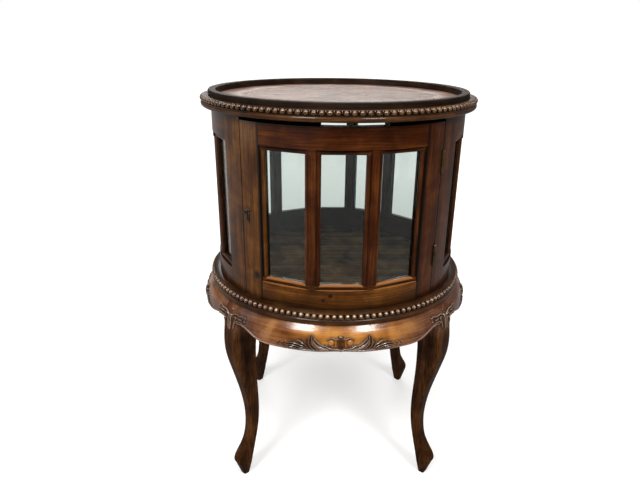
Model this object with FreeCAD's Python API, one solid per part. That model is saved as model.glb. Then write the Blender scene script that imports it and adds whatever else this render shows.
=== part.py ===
"""Round display cabinet on four cabriole legs, with a bow-front glazed door.

The front of the cabinet faces -Y, X runs to the viewer's right and Z is up.  The floor is Z = 0
and the cabinet's axis is the Z axis.  Angles are in degrees about that axis, counted from the
front and growing towards +X, so the back is 180.  Every length is in millimetres.
"""
import FreeCAD, Part
import math
import os

# ---------------------------------------------------------------- driving dimensions
total_height = 760.0            # floor to the top of the gallery rim
floor_top = 414.0               # floor to the cabinet's own floor
body_radius = 236.0             # outer face of door, posts and rails
wall = 20.0                     # thickness of the frames, measured along the radius
floor_thickness = 20.0
floor_sink = 1.5                # the shown part of the floor lies this deep in its frame
floor_margin = 7.0              # frame of the floor inside the door and the rails
top_board_thickness = 16.0

# gallery rim and the moulding round the top
gallery_set_out = 4.0           # outside of the rim beyond the body
gallery_width = 13.5
gallery_height = 12.0           # above the field of the top
gallery_softening = 1.5
gallery_rebate = 3.0            # the rim stands this deep in the edge of the top
gallery_fit = 0.05              # field of the top to the inside of the rim
top_seat = 2.0                  # the rim bears on the moulding as well as on the board
top_ledge = 10.9                # rim to the middle of the beads
top_ledge_rise = 2.6            # the ledge stands above the field
top_bead_radius = 4.15
top_ovolo_height = 8.6          # rounded band under the beads
top_ovolo_set_out = 1.7         # its upper edge beyond the middle of the beads
top_ovolo_swell = 1.2

# door, in the curve of the body
door_half_angle = 45.0
door_side_gap_angle = 0.4       # between the door's edge and each post
door_top_gap = 8.0              # daylight under the top board
door_foot_gap = 0.8
door_stile_width = 41.4         # plain face outside the mouldings
door_muntin_face = 12.0         # flat between the mouldings
door_light_count = 3
rail_face_top = 35.6            # plain face above the moulded openings
rail_face_bottom = 36.8

# carcase
post_width_angle = 11.0
first_bay_angle = 17.9          # from the post's face to the middle of the first mullion
bay_count = 9                   # equal bays from the first mullion on the left to the right
mullion_face = 13.6
mullion_set_back = 1.5          # behind the face of the rails

# moulded openings
ovolo = 8.4                     # width of the rounded moulding on every opening
ovolo_depth = 5.0
quirk = 2.2                     # step between the face and the moulding
quirk_width = 1.6               # sunk flat at the foot of the step
ovolo_lip = 1.0                 # flat between the moulding and the glass
ovolo_crown = 3.6               # a point of its curve, from the sight edge
ovolo_crown_depth = 1.7         # the same point, behind the face
moulding_spare = 3.0            # blanks of posts and stiles beyond their moulding
rebate = 5.0                    # cover of the glass behind the moulding
glass_thickness = 3.0
glass_clearance = 0.5           # pane to rebate side
bead_thickness = 4.0            # glazing bead behind the glass

# hinges
hinge_from_foot = 75.0          # door's bottom edge to the middle of the lower hinge
hinge_from_top = 67.0
hinge_length = 38.0
hinge_leaf_width = 14.0
hinge_leaf_thickness = 1.2
hinge_leaf_gap = 0.1            # each leaf to the joint's middle plane
knuckle_radius = 2.6
knuckle_pin_radius = 1.5
knuckle_play = 0.3              # between knuckles, along the pin
pin_clearance = 0.05            # running fit of the pin in the door's knuckle
pin_tip = 1.3
hinge_axis_proud = 1.9          # hinge axis outside the face
knuckle_pocket = 0.5            # room round the knuckle in the wood
screw_radius = 1.2
screw_head_radius = 2.2
screw_length = 11.0
hinge_screw_spacing = 22.0
hinge_screw_depth = 9.5         # screw centre behind the hinge axis

# lock
lock_from_foot = 158.2          # door's bottom edge to the axis of the key
lock_backset = 13.0             # key axis to the door's edge, on the face
lock_case_margin = 3.0          # wood between the case and the edge
lock_case_width = 26.0
lock_case_height = 46.0
lock_case_depth = 9.0
lock_case_wall = 1.2
lock_case_sunk = 1.0            # behind the inner face
bolt_width = 12.0
bolt_thickness = 4.0
bolt_length = 20.0
bolt_throw = 7.0
bolt_sunk = 1.5                 # nose behind the edge when drawn back
bolt_rise = 12.0                # bolt's middle above the key
bolt_play = 0.35
mortise_spare = 1.0             # beyond the thrown bolt
key_radius = 1.3
key_play = 0.35
key_reach = 4.5                 # shank outside the escutcheon, up to the bow
key_bit = 5.2
key_bit_thickness = 1.6
key_bow_width = 7.5
key_bow_length = 6.5
key_bow_thickness = 2.0
key_eye_radius = 1.3
escutcheon_head = 4.2
escutcheon_length = 19.5        # centre of the head to the foot
escutcheon_foot = 2.6           # half width at the foot
escutcheon_border = 1.5
escutcheon_thickness = 1.2
strike_length = 30.0
strike_width = 10.0
strike_thickness = 1.0
strike_screw_inset = 4.0
door_stop_width = 8.0           # stop lip behind the lock stile
door_stop_thickness = 6.0
door_stop_gap = 0.5

# base moulding
base_ledge = 13.6               # body to the middle of the beads
base_bead_radius = 3.9
base_band_set_out = 2.4         # plain band beyond the middle of the beads
base_band_height = 11.0

# aprons; drops are measured down from the underside of the cabinet's floor
apron_set_out = 2.0             # inner face beyond the body
apron_top_inset = 3.0           # behind the plain band
apron_neck = 4.0
apron_neck_drop = 5.0
apron_swell = 16.2              # widest beyond the apron's top
apron_swell_drop = 30.0
apron_hem = 3.2                 # lower edge inside the swell
apron_hem_drop = 54.0
scallop_middle_drop = 42.0      # lower edge at the middle of an apron
scallop_shoulder_drop = 44.5
scallop_shoulder_angle = 8.0    # from the middle
# angle from the leg's middle and drop of the shaped edge as it rises to the knee
scallop_rise = (
    (26.0, 46.0),
    (18.4, 46.8),
    (14.4, 43.0),
    (10.4, 34.5),
    (7.4, 28.5),
    (3.5, 25.5),
    (0.0, 24.5),
)
side_scallop_rise = (           # the shorter side aprons rise earlier
    (26.0, 44.5),
    (18.4, 40.5),
    (14.4, 36.5),
    (10.4, 31.5),
    (7.4, 28.0),
    (3.5, 25.5),
    (0.0, 24.5),
)

# raised ground of the carving at the middle of each apron: angle from the middle,
# drop below the apron's top, half width, height above the swell
carved_bosses = (
    (0.0, 28.0, 10.0, 1.8),     # shell
    (0.0, 17.8, 5.2, 1.6),      # knob that crowns it
    (-3.5, 25.6, 6.2, 3.4),     # volutes beside it
    (3.5, 25.6, 6.2, 3.4),
    (-10.7, 27.0, 8.0, 2.0),    # leaves beyond them
    (10.7, 27.0, 8.0, 2.0),
)
boss_depth = 12.0               # of the trimmed balls, into the apron
boss_reach = 8.0                # degrees to each side of a ball's middle

# legs
front_leg_angle = 48.4          # from the front
back_leg_angle = 47.4           # from the back
leg_block_width = 44.0
leg_block_drop = 36.0           # height of the square top
leg_block_inset = 22.0          # its inner face inside the body
leg_corner = 5.0
# share of the height under the block, outer and inner face beyond the body, width across
leg_curve = (
    (1.000, 30.0, -19.0, 43.0),
    (0.920, 33.4, -17.5, 40.5),
    (0.845, 34.2, -15.5, 37.5),
    (0.780, 30.8, -15.5, 35.0),
    (0.710, 24.3, -16.0, 32.5),
    (0.573, 11.2, -19.0, 28.5),
    (0.433, 2.0, -21.5, 25.0),
    (0.321, 1.5, -19.0, 23.5),
    (0.237, 7.5, -13.0, 23.5),
    (0.168, 20.8, -6.0, 25.5),
    (0.117, 31.0, -0.5, 27.5),
    (0.078, 29.0, 2.5, 27.0),
)
leg_tread = (20.0, 7.0, 16.0)   # the foot's underside: outer and inner face, width across
glue_block_angle = 8.0
glue_block_place = 0.45         # share of the way from an apron's middle to its leg
glue_block_depth = 15.0
glue_block_height = 18.0
leg_screw_radius = 2.5
leg_screw_head = 4.8
leg_screw_length = 50.0

# ---------------------------------------------------------------- derived places
field_height = total_height - gallery_height
top_underside = field_height - top_board_thickness
gallery_foot = field_height - gallery_rebate
inner_radius = body_radius - wall
gallery_radius = body_radius + gallery_set_out
top_edge_radius = gallery_radius + top_ledge
ledge_height = field_height + top_ledge_rise
floor_underside = floor_top - floor_thickness


def arc_degrees(length, radius=body_radius):
    """Angle that a length takes up round the body."""
    return math.degrees(length / radius)


door_bottom = floor_top + door_foot_gap
door_top = top_underside - door_top_gap
opening_bottom = floor_top + rail_face_bottom         # outer line of the mouldings
opening_top = door_top - rail_face_top
sight_bottom = opening_bottom + ovolo
sight_top = opening_top - ovolo
glass_depth = quirk + ovolo_depth + ovolo_lip         # chord plane to the glass

door_stile_angle = door_half_angle - arc_degrees(door_stile_width)
door_light_span = (2 * door_stile_angle - (door_light_count - 1) * arc_degrees(door_muntin_face)
                   ) / door_light_count
door_light_pitch = door_light_span + arc_degrees(door_muntin_face)
post_inner_angle = door_half_angle + door_side_gap_angle
post_outer_angle = post_inner_angle + post_width_angle
first_mullion_angle = post_outer_angle + first_bay_angle
bay_pitch = (360 - 2 * first_mullion_angle) / bay_count
bay_span = bay_pitch - arc_degrees(mullion_face)
first_bay_span = first_bay_angle - arc_degrees(mullion_face) / 2
side_mullion_count = (bay_count - 1) // 2
mullion_angles = [first_mullion_angle + n * bay_pitch for n in range(side_mullion_count)]
back_post_angle = mullion_angles[-1]                  # rails meet on this mullion
back_muntin_angle = back_post_angle + bay_pitch
moulded_strip = arc_degrees(ovolo + moulding_spare)
opening_reach = 2 * wall                              # of the cut before and behind the glass

hinge_angle = door_half_angle + door_side_gap_angle / 2
hinge_axis_radius = body_radius + hinge_axis_proud
hinge_heights = {"lower": door_bottom + hinge_from_foot, "upper": door_top - hinge_from_top}
lock_angle = -(door_half_angle - arc_degrees(lock_backset))
lock_height = door_bottom + lock_from_foot

base_bead_circle = body_radius + base_ledge
base_band_radius = base_bead_circle + base_band_set_out
apron_inner_radius = body_radius + apron_set_out
apron_top_radius = base_band_radius - apron_top_inset
apron_swell_radius = apron_top_radius + apron_swell
apron_hem_radius = apron_swell_radius - apron_hem
apron_lowest = floor_underside - apron_hem_drop
leg_block_inner = body_radius - leg_block_inset
leg_block_bottom = floor_underside - leg_block_drop
leg_angles = {"front_left": -front_leg_angle, "front_right": front_leg_angle,
              "back_left": back_leg_angle - 180, "back_right": 180 - back_leg_angle}
side_apron_half = (180 - front_leg_angle - back_leg_angle) / 2
side_apron_middle = front_leg_angle + side_apron_half
apron_places = {"front": (0.0, front_leg_angle), "back": (180.0, back_leg_angle),
                "left": (-side_apron_middle, side_apron_half),
                "right": (side_apron_middle, side_apron_half)}
axis_z = FreeCAD.Vector(0, 0, 1)
origin = FreeCAD.Vector(0, 0, 0)
far = 400.0                                           # reach of cutting tools

os.makedirs("parts", exist_ok=True)


# ---------------------------------------------------------------- shape helpers
def plan(x, y):
    """A point of a drawing that lies flat."""
    return FreeCAD.Vector(x, y, 0)


def upright(r, z):
    """A point of a drawing that stands in the XZ plane."""
    return FreeCAD.Vector(r, 0, z)


def outline(place, start, *moves):
    """Closed face; a move is a point for a line, or (through, end) for an arc."""
    edges = []
    last = start
    for move in list(moves) + [start]:
        if isinstance(move[0], tuple):
            edges.append(Part.Arc(place(*last), place(*move[0]), place(*move[1])).toShape())
            last = move[1]
        elif move != last:
            edges.append(Part.LineSegment(place(*last), place(*move)).toShape())
            last = move
    return Part.Face(Part.Wire(edges))


def turned(shape, angle):
    """The shape, made at the front, carried round the cabinet's axis."""
    copy = shape.copy()
    copy.rotate(origin, axis_z, angle)
    return copy


def swept(face, from_angle=0.0, to_angle=360.0):
    """A section in the XZ plane, revolved between two angles."""
    solid = face.revolve(origin, axis_z, to_angle - from_angle)
    return turned(solid, from_angle - 90)


def polar(radius, angle):
    return radius * math.sin(math.radians(angle)), -radius * math.cos(math.radians(angle))


def arc_block(r_in, r_out, from_angle, to_angle, bottom, top):
    """Part of a ring with radial ends."""
    middle = (from_angle + to_angle) / 2
    face = outline(plan, polar(r_in, from_angle), polar(r_out, from_angle),
                   (polar(r_out, middle), polar(r_out, to_angle)), polar(r_in, to_angle),
                   (polar(r_in, middle), polar(r_in, from_angle)))
    face.translate(FreeCAD.Vector(0, 0, bottom))
    return face.extrude(FreeCAD.Vector(0, 0, top - bottom))


def box(x_from, x_to, y_from, y_to, z_from, z_to):
    return Part.makeBox(x_to - x_from, y_to - y_from, z_to - z_from,
                        FreeCAD.Vector(x_from, y_from, z_from))


def rod(radius, start, direction, length):
    return Part.makeCylinder(radius, length, start, direction)


def place_at(radius, angle, height):
    x, y = polar(radius, angle)
    return FreeCAD.Vector(x, y, height)


def save(name, shape):
    """One node; a list of solids is kept as separate solids in one file."""
    solids = shape if isinstance(shape, list) else [shape]
    bodies = []
    for solid in solids:
        bodies.extend(solid.Solids)
    for body in bodies:
        if not body.isValid() or body.Volume <= 0:
            raise ValueError("bad solid in " + name)
    result = bodies[0] if len(bodies) == 1 else Part.makeCompound(bodies)
    result.exportStep("parts/" + name + ".step")


# ---------------------------------------------------------------- glazed openings
class Light:
    """One flat pane's opening, at an angle round the cabinet; span is between the faces."""

    def __init__(self, angle, span):
        self.angle = angle
        self.half = body_radius * math.sin(math.radians(span / 2)) - ovolo
        self.chord = body_radius * math.cos(math.radians(span / 2))

    def section(self, low, high):
        """Opening's outline across its depth: (place along the frame, depth from the chord)."""
        flat = glass_depth - ovolo_lip
        return (
            (high + ovolo, -opening_reach),
            (high + ovolo, quirk),
            (high + ovolo - quirk_width, quirk),
            ((high + ovolo_crown, ovolo_crown_depth), (high, flat)),
            (high, glass_depth),
            (high + rebate, glass_depth),
            (high + rebate, opening_reach),
            (low - rebate, opening_reach),
            (low - rebate, glass_depth),
            (low, glass_depth),
            (low, flat),
            ((low - ovolo_crown, ovolo_crown_depth), (low - ovolo + quirk_width, quirk)),
            (low - ovolo, quirk),
            (low - ovolo, -opening_reach),
        )

    def cutter(self):
        """Moulding, sight opening and glass rebate; the mouldings meet in mitres."""
        def across(u, depth):
            return FreeCAD.Vector(u, depth - self.chord, 0)

        def up(z, depth):
            return FreeCAD.Vector(-far / 2, depth - self.chord, z)

        level = outline(across, *self.section(-self.half, self.half))
        level.translate(FreeCAD.Vector(0, 0, sight_bottom - 2 * rebate - ovolo))
        tall = level.extrude(FreeCAD.Vector(0, 0, sight_top - sight_bottom + 4 * rebate + 2 * ovolo))
        side = outline(up, *self.section(sight_bottom, sight_top))
        wide = side.extrude(FreeCAD.Vector(far, 0, 0))
        return turned(tall.common(wide), self.angle)

    def pane(self):
        edge = rebate - glass_clearance
        face = glass_depth - self.chord
        glass = box(-self.half - edge, self.half + edge, face, face + glass_thickness,
                    sight_bottom - edge, sight_top + edge)
        return turned(glass, self.angle)

    def glazing_beads(self):
        near = glass_depth + glass_thickness - self.chord
        deep = near + bead_thickness
        low, high = sight_bottom - rebate, sight_top + rebate
        strips = []
        for side in (-1, 1):
            edges = sorted((side * self.half, side * (self.half + rebate)))
            strips.append(box(edges[0], edges[1], near, deep, low, high))
        for bottom, top in ((low, sight_bottom), (sight_top, high)):
            strips.append(box(-self.half, self.half, near, deep, bottom, top))
        return [turned(strip, self.angle) for strip in strips]


door_lights = [Light((n - (door_light_count - 1) / 2) * door_light_pitch, door_light_span)
               for n in range(door_light_count)]


def side_lights(side):
    """The lights from the front post to the back; side is -1 or 1."""
    lights = [Light(side * (post_outer_angle + first_bay_span / 2), first_bay_span)]
    for angle in mullion_angles[:-1]:
        lights.append(Light(side * (angle + bay_pitch / 2), bay_span))
    return lights


left_lights = side_lights(-1)
right_lights = side_lights(1)
back_lights = [Light(180 + n * bay_pitch, bay_span) for n in (-1, 0, 1)]
carcase_lights = left_lights + right_lights + back_lights


def glazed(block, lights):
    """The block with the openings of the given lights cut through it."""
    for light in lights:
        block = block.cut(light.cutter())
    return block.removeSplitter()


# ---------------------------------------------------------------- top
def top_board():
    edge = gallery_radius - top_seat
    field = gallery_radius - gallery_width - gallery_fit
    return swept(outline(upright, (0, top_underside), (edge, top_underside), (edge, gallery_foot),
                         (field, gallery_foot), (field, field_height), (0, field_height)))


def gallery_rim():
    inner = gallery_radius - gallery_width
    soft = gallery_softening
    return swept(outline(upright, (inner, gallery_foot), (gallery_radius, gallery_foot),
                         (gallery_radius, total_height - soft),
                         (gallery_radius - soft, total_height),
                         (inner + soft, total_height), (inner, total_height - soft)))


def top_moulding():
    """Ledge, half-round band for the beads and a rounded band under it."""
    seat = gallery_radius - top_seat
    bead_height = ledge_height - top_bead_radius
    bead_foot = bead_height - top_bead_radius
    band_top = (top_edge_radius + top_ovolo_set_out, top_underside + top_ovolo_height)
    band_middle = (band_top[0] + top_ovolo_swell, top_underside + top_ovolo_height / 2)
    band_foot = (top_edge_radius - top_ovolo_swell, top_underside)
    return swept(outline(
        upright, (seat, top_underside), band_foot, (band_middle, band_top),
        (top_edge_radius, bead_foot),
        ((top_edge_radius + top_bead_radius, bead_height), (top_edge_radius, ledge_height)),
        (gallery_radius, ledge_height), (gallery_radius, gallery_foot), (seat, gallery_foot)))


# ---------------------------------------------------------------- hinge and lock cutters
def at_hinge(shape):
    """Carry a shape made on the Z axis, with -Y outward and +X towards the post, to the hinge."""
    moved = shape.copy()
    moved.translate(FreeCAD.Vector(0, -hinge_axis_radius, 0))
    return turned(moved, hinge_angle)


def hinge_leaf_box(side, middle):
    """Leaf blank; side is 1 for the post and -1 for the door."""
    x = sorted((side * hinge_leaf_gap, side * (hinge_leaf_gap + hinge_leaf_thickness)))
    return box(x[0], x[1], 0, hinge_leaf_width, middle - hinge_length / 2, middle + hinge_length / 2)


def hinge_seats(side):
    """What the wood loses for the leaf and for the knuckle."""
    seats = []
    for middle in hinge_heights.values():
        leaf = hinge_leaf_box(side, middle)
        reach = hinge_length / 2 + pin_tip + knuckle_pocket
        pocket = rod(knuckle_radius + knuckle_pocket, FreeCAD.Vector(0, 0, middle - reach), axis_z,
                     2 * reach)
        seats += [at_hinge(leaf), at_hinge(pocket)]
    return seats


def screw(radius=screw_radius, head=screw_head_radius, length=screw_length):
    """Countersunk screw with its head's face at Z = 0, pointing down."""
    cone = head - radius
    shank = rod(radius, FreeCAD.Vector(0, 0, -length), axis_z, length - cone)
    return shank.fuse(Part.makeCone(radius, head, cone, FreeCAD.Vector(0, 0, -cone), axis_z))


def hinge_screws(side):
    """Two screws in each leaf, from the joint into the wood."""
    screws = []
    for middle in hinge_heights.values():
        for offset in (-hinge_screw_spacing / 2, hinge_screw_spacing / 2):
            one = screw()
            one.rotate(origin, FreeCAD.Vector(0, 1, 0), -side * 90)
            one.translate(FreeCAD.Vector(side * hinge_leaf_gap, hinge_screw_depth, middle + offset))
            screws.append(at_hinge(one))
    return screws


def knuckle_spans(middle):
    """Three equal knuckles; the post's leaf has the outer two."""
    pitch = hinge_length / 3
    low = middle - hinge_length / 2
    return [(low + n * pitch + knuckle_play / 2 * (n > 0),
             low + (n + 1) * pitch - knuckle_play / 2 * (n < 2)) for n in range(3)]


def hinge_leaf(side, middle):
    spans = knuckle_spans(middle)
    own = (spans[0], spans[2]) if side > 0 else (spans[1],)
    leaf = hinge_leaf_box(side, middle)
    room = rod(knuckle_radius + knuckle_play, FreeCAD.Vector(0, 0, middle - hinge_length), axis_z,
               2 * hinge_length)
    leaf = leaf.cut(room)
    bore = knuckle_pin_radius + (0 if side > 0 else pin_clearance)
    for low, high in own:
        barrel = rod(knuckle_radius, FreeCAD.Vector(0, 0, low), axis_z, high - low)
        x = sorted((side * hinge_leaf_gap, side * (hinge_leaf_gap + hinge_leaf_thickness)))
        web = box(x[0], x[1], 0, knuckle_radius + 2 * knuckle_play, low, high)
        leaf = leaf.fuse([barrel, web])
    leaf = leaf.cut(rod(bore, FreeCAD.Vector(0, 0, middle - hinge_length), axis_z, 2 * hinge_length))
    return at_hinge(leaf).removeSplitter()


def hinge_pin(middle):
    """Pin with a low round cap at each end."""
    low = middle - hinge_length / 2
    pin = rod(knuckle_pin_radius, FreeCAD.Vector(0, 0, low), axis_z, hinge_length)
    tips = []
    for end, way in ((low, -1), (low + hinge_length, 1)):
        ball = Part.makeSphere(knuckle_radius, FreeCAD.Vector(0, 0, end - way * (knuckle_radius - pin_tip)))
        keep = box(-far, far, -far, far, *sorted((end, end + way * far)))
        tips.append(ball.common(keep))
    return at_hinge(pin.fuse(tips)).removeSplitter()


# The lock is drawn at the front and turned to its angle: X to the right, Y into the cabinet.
# The door's edge lies on the left of the key.
lock_back = -inner_radius - lock_case_sunk            # inner face of the case
lock_front = lock_back - lock_case_depth
bolt_y = (lock_front + lock_back) / 2


def at_lock(shape):
    return turned(shape, lock_angle)


def lock_case_box(extra=0.0):
    left = -lock_backset + lock_case_margin
    return box(left - extra, left + lock_case_width + extra, lock_front - extra, lock_back + extra,
               lock_height - lock_case_height / 2 - extra, lock_height + lock_case_height / 2 + extra)


def bolt_box(nose, tail, play=0.0):
    """Bolt blank between two places along its way."""
    middle = lock_height + bolt_rise
    return box(nose, tail, bolt_y - bolt_thickness / 2 - play, bolt_y + bolt_thickness / 2 + play,
               middle - bolt_width / 2 - play, middle + bolt_width / 2 + play)


bolt_nose = -lock_backset + bolt_sunk
thrown_nose = bolt_nose - bolt_throw


def keyhole(shrink, back):
    """Keyhole outline, cut from in front of the face to a depth; shrink 0 is the plate."""
    def face_point(x, z):
        return FreeCAD.Vector(x, -body_radius - escutcheon_thickness, lock_height + z)

    head = escutcheon_head - shrink
    foot = escutcheon_foot - shrink
    length = escutcheon_length - 2 * shrink
    start = (foot, -math.sqrt(head ** 2 - foot ** 2))
    drawn = outline(face_point, start, ((0, head), (-start[0], start[1])),
                    (-foot, -length), (foot, -length))
    return drawn.extrude(FreeCAD.Vector(0, back + body_radius + escutcheon_thickness, 0))


def lock_case():
    case = lock_case_box().cut(lock_case_box(-lock_case_wall))
    case = case.cut(bolt_box(-2 * lock_backset, 0, bolt_play))
    return at_lock(case.cut(keyhole(escutcheon_border, lock_front + 2 * lock_case_wall)))


def lock_bolt():
    return at_lock(bolt_box(bolt_nose, bolt_nose + bolt_length))


def lock_key():
    """Shank, flat bow outside and bit inside the case."""
    inner = lock_back - lock_case_wall - key_play
    outer = -body_radius - escutcheon_thickness - key_reach
    shank = rod(key_radius, FreeCAD.Vector(0, outer, lock_height), FreeCAD.Vector(0, 1, 0), inner - outer)
    half = key_bow_thickness / 2
    middle = outer - key_bow_length / 2 + key_radius
    bow = Part.makeCylinder(key_bow_width / 2, key_bow_thickness,
                            FreeCAD.Vector(0, 0, lock_height - half), axis_z)
    squeeze = FreeCAD.Matrix()
    squeeze.A22 = key_bow_length / key_bow_width
    bow = bow.transformGeometry(squeeze)
    bow.translate(FreeCAD.Vector(0, middle, 0))
    eye = rod(key_eye_radius, FreeCAD.Vector(0, middle, lock_height - 2 * half), axis_z, 4 * half)
    bit_low = lock_front + lock_case_wall + key_play
    bit = box(0, key_bit, bit_low, inner, lock_height - key_bit_thickness / 2,
              lock_height + key_bit_thickness / 2)
    return at_lock(shank.fuse([bow.cut(eye), bit])).removeSplitter()


def escutcheon():
    """Keyhole-shaped plate on the curved stile."""
    plate = keyhole(0, lock_back).cut(keyhole(escutcheon_border, lock_back))
    core = rod(body_radius, FreeCAD.Vector(0, 0, lock_height - far), axis_z, 2 * far)
    return at_lock(plate.cut(core))


def at_post_edge(shape):
    """From a drawing whose X = 0 is the left post's edge to its place."""
    return turned(shape, -post_inner_angle)


def strike_box():
    """Plate let into the edge of the left post."""
    middle = lock_height + bolt_rise
    return at_post_edge(box(-strike_thickness, 0, bolt_y - strike_width / 2, bolt_y + strike_width / 2,
                            middle - strike_length / 2, middle + strike_length / 2))


def bolt_mortise():
    return at_lock(bolt_box(thrown_nose - mortise_spare, 0, bolt_play))


def strike_plate():
    plate = strike_box().cut(bolt_mortise())
    for one in strike_screws():
        plate = plate.cut(one)
    return plate


def strike_screws():
    screws = []
    reach = strike_length / 2 - strike_screw_inset
    for offset in (-reach, reach):
        one = screw()
        one.rotate(origin, FreeCAD.Vector(0, 1, 0), 90)
        one.translate(FreeCAD.Vector(0, bolt_y, lock_height + bolt_rise + offset))
        screws.append(at_post_edge(one))
    return screws


# ---------------------------------------------------------------- cabinet
def post(side):
    """Front post: full height, with the moulded strip of the first light."""
    angles = sorted((side * post_inner_angle, side * post_outer_angle))
    strip = sorted((side * post_outer_angle, side * (post_outer_angle + moulded_strip)))
    solid = arc_block(inner_radius, body_radius, *angles, floor_top, top_underside)
    solid = solid.fuse(arc_block(inner_radius, body_radius, *strip, sight_bottom, sight_top))
    return glazed(solid, [light for light in carcase_lights if light.angle * side > 0][:1])


def front_post_left():
    """The lock side's post carries the door stop, the strike and the bolt's mortise."""
    solid = post(-1)
    stop_outer = inner_radius - door_stop_gap
    lip_angle = math.degrees(door_stop_width / inner_radius)
    stop = arc_block(stop_outer - door_stop_thickness, stop_outer, -post_outer_angle,
                     -post_inner_angle + lip_angle, floor_top, top_underside)
    backing = arc_block(stop_outer, inner_radius, -post_outer_angle, -post_inner_angle,
                        floor_top, top_underside)
    solid = solid.fuse([stop, backing])
    solid = glazed(solid, left_lights[:1])
    solid = solid.cut(strike_box()).cut(bolt_mortise())
    for one in strike_screws():
        solid = solid.cut(one)
    return solid.removeSplitter()


def front_post_right():
    solid = post(1)
    for tool in hinge_seats(1) + hinge_screws(1):
        solid = solid.cut(tool)
    return solid


def side_rail(side, bottom, top):
    angles = sorted((side * post_outer_angle, side * back_post_angle))
    lights = left_lights if side < 0 else right_lights
    return glazed(arc_block(inner_radius, body_radius, *angles, bottom, top), lights + back_lights)


def back_rail(bottom, top):
    block = arc_block(inner_radius, body_radius, back_post_angle, 360 - back_post_angle, bottom, top)
    return glazed(block, left_lights[-1:] + back_lights + right_lights[-1:])


def between_lights(angle, face_width, outer, lights):
    """Upright between two lights; its blank is trimmed by the moulded openings."""
    half = arc_degrees(face_width) / 2 + moulded_strip
    block = arc_block(inner_radius, outer, angle - half, angle + half, sight_bottom, sight_top)
    near = [light for light in lights if abs((light.angle - angle + 180) % 360 - 180) < bay_pitch]
    return glazed(block, near)


def mullion(angle):
    return between_lights(angle, mullion_face, body_radius - mullion_set_back, carcase_lights)


# ---------------------------------------------------------------- door
def door_stile(side):
    angles = sorted((side * door_stile_angle, side * door_half_angle))
    strip = sorted((side * (door_stile_angle - moulded_strip), side * door_stile_angle))
    solid = arc_block(inner_radius, body_radius, *angles, door_bottom, door_top)
    solid = solid.fuse(arc_block(inner_radius, body_radius, *strip, sight_bottom, sight_top))
    return glazed(solid, [door_lights[0] if side < 0 else door_lights[-1]])


def door_lock_stile():
    solid = door_stile(-1).cut(at_lock(lock_case_box()))
    behind = lock_case_box()
    behind.translate(FreeCAD.Vector(0, lock_case_depth / 2, 0))
    solid = solid.cut(at_lock(behind)).cut(at_lock(bolt_box(-2 * lock_backset, 0, bolt_play)))
    solid = solid.cut(at_lock(keyhole(escutcheon_border, lock_back)))
    return solid.removeSplitter()


def door_hinge_stile():
    solid = door_stile(1)
    for tool in hinge_seats(-1) + hinge_screws(-1):
        solid = solid.cut(tool)
    return solid


def door_rail(bottom, top):
    return glazed(arc_block(inner_radius, body_radius, -door_stile_angle, door_stile_angle, bottom, top),
                  door_lights)


def door_muntins():
    uprights = []
    for left, right in zip(door_lights[:-1], door_lights[1:]):
        middle = (left.angle + right.angle) / 2
        uprights.append(between_lights(middle, door_muntin_face, body_radius, [left, right]))
    return uprights


# ---------------------------------------------------------------- base
def cabinet_floor():
    disc = rod(body_radius, FreeCAD.Vector(0, 0, floor_underside), axis_z, floor_thickness)
    disc = disc.cut(rod(inner_radius - floor_margin, FreeCAD.Vector(0, 0, floor_top - floor_sink),
                        axis_z, floor_thickness))
    for one in leg_screws():
        disc = disc.cut(one)
    return disc


def base_moulding():
    """Ledge, half-round band for the beads and a plain band under it."""
    bead_height = floor_top - base_bead_radius
    band_top = floor_underside + base_band_height
    return swept(outline(
        upright, (body_radius, floor_underside), (base_band_radius, floor_underside),
        (base_band_radius, band_top), (base_bead_circle, bead_height - base_bead_radius),
        ((base_bead_circle + base_bead_radius, bead_height), (base_bead_circle, floor_top)),
        (body_radius, floor_top)))


def swelling_section(inner):
    """Upright section of the aprons: a hollow under the band, then the swell."""
    neck = (apron_top_radius + apron_neck, floor_underside - apron_neck_drop)
    swell = (apron_swell_radius, floor_underside - apron_swell_drop)
    return outline(upright, (inner, apron_lowest), (apron_hem_radius, apron_lowest),
                   (swell, neck), (apron_top_radius, floor_underside), (inner, floor_underside))


def leg_block_space():
    """The upright prism that a leg's top fills, at the front."""
    half = leg_block_width / 2
    return box(-half, half, -far, -leg_block_inner, leg_block_bottom, floor_underside)


def scallop(half_span, rise):
    """Everything under an apron's shaped lower edge; half_span is its half angle."""
    half = [(scallop_shoulder_angle, scallop_shoulder_drop)]
    half += [(half_span - from_leg, drop) for from_leg, drop in rise]
    drawn = [(-angle, drop) for angle, drop in reversed(half)]
    drawn += [(0.0, scallop_middle_drop)] + half
    vectors = []
    for angle, drop in drawn:
        x = polar(apron_hem_radius, angle)[0]
        vectors.append(FreeCAD.Vector(x, -far, floor_underside - drop))
    curve = Part.BSplineCurve()
    curve.interpolate(vectors)
    bottom = apron_lowest - apron_hem_drop
    corners = [vectors[-1], FreeCAD.Vector(vectors[-1].x, -far, bottom),
               FreeCAD.Vector(vectors[0].x, -far, bottom), vectors[0]]
    face = Part.Face(Part.Wire([curve.toShape()] + Part.makePolygon(corners).Edges))
    return face.extrude(FreeCAD.Vector(0, far, 0))


def carved_boss(angle, drop, half_width, proud):
    """Low dome on the swell: a large ball, trimmed behind its face."""
    radius = (half_width ** 2 + proud ** 2) / (2 * proud)
    face = apron_swell_radius + proud
    ball = Part.makeSphere(radius, place_at(face - radius, angle, floor_underside - drop))
    return ball.common(arc_block(apron_swell_radius - boss_depth, face + proud, angle - boss_reach,
                                 angle + boss_reach, apron_lowest, floor_underside))


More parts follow.
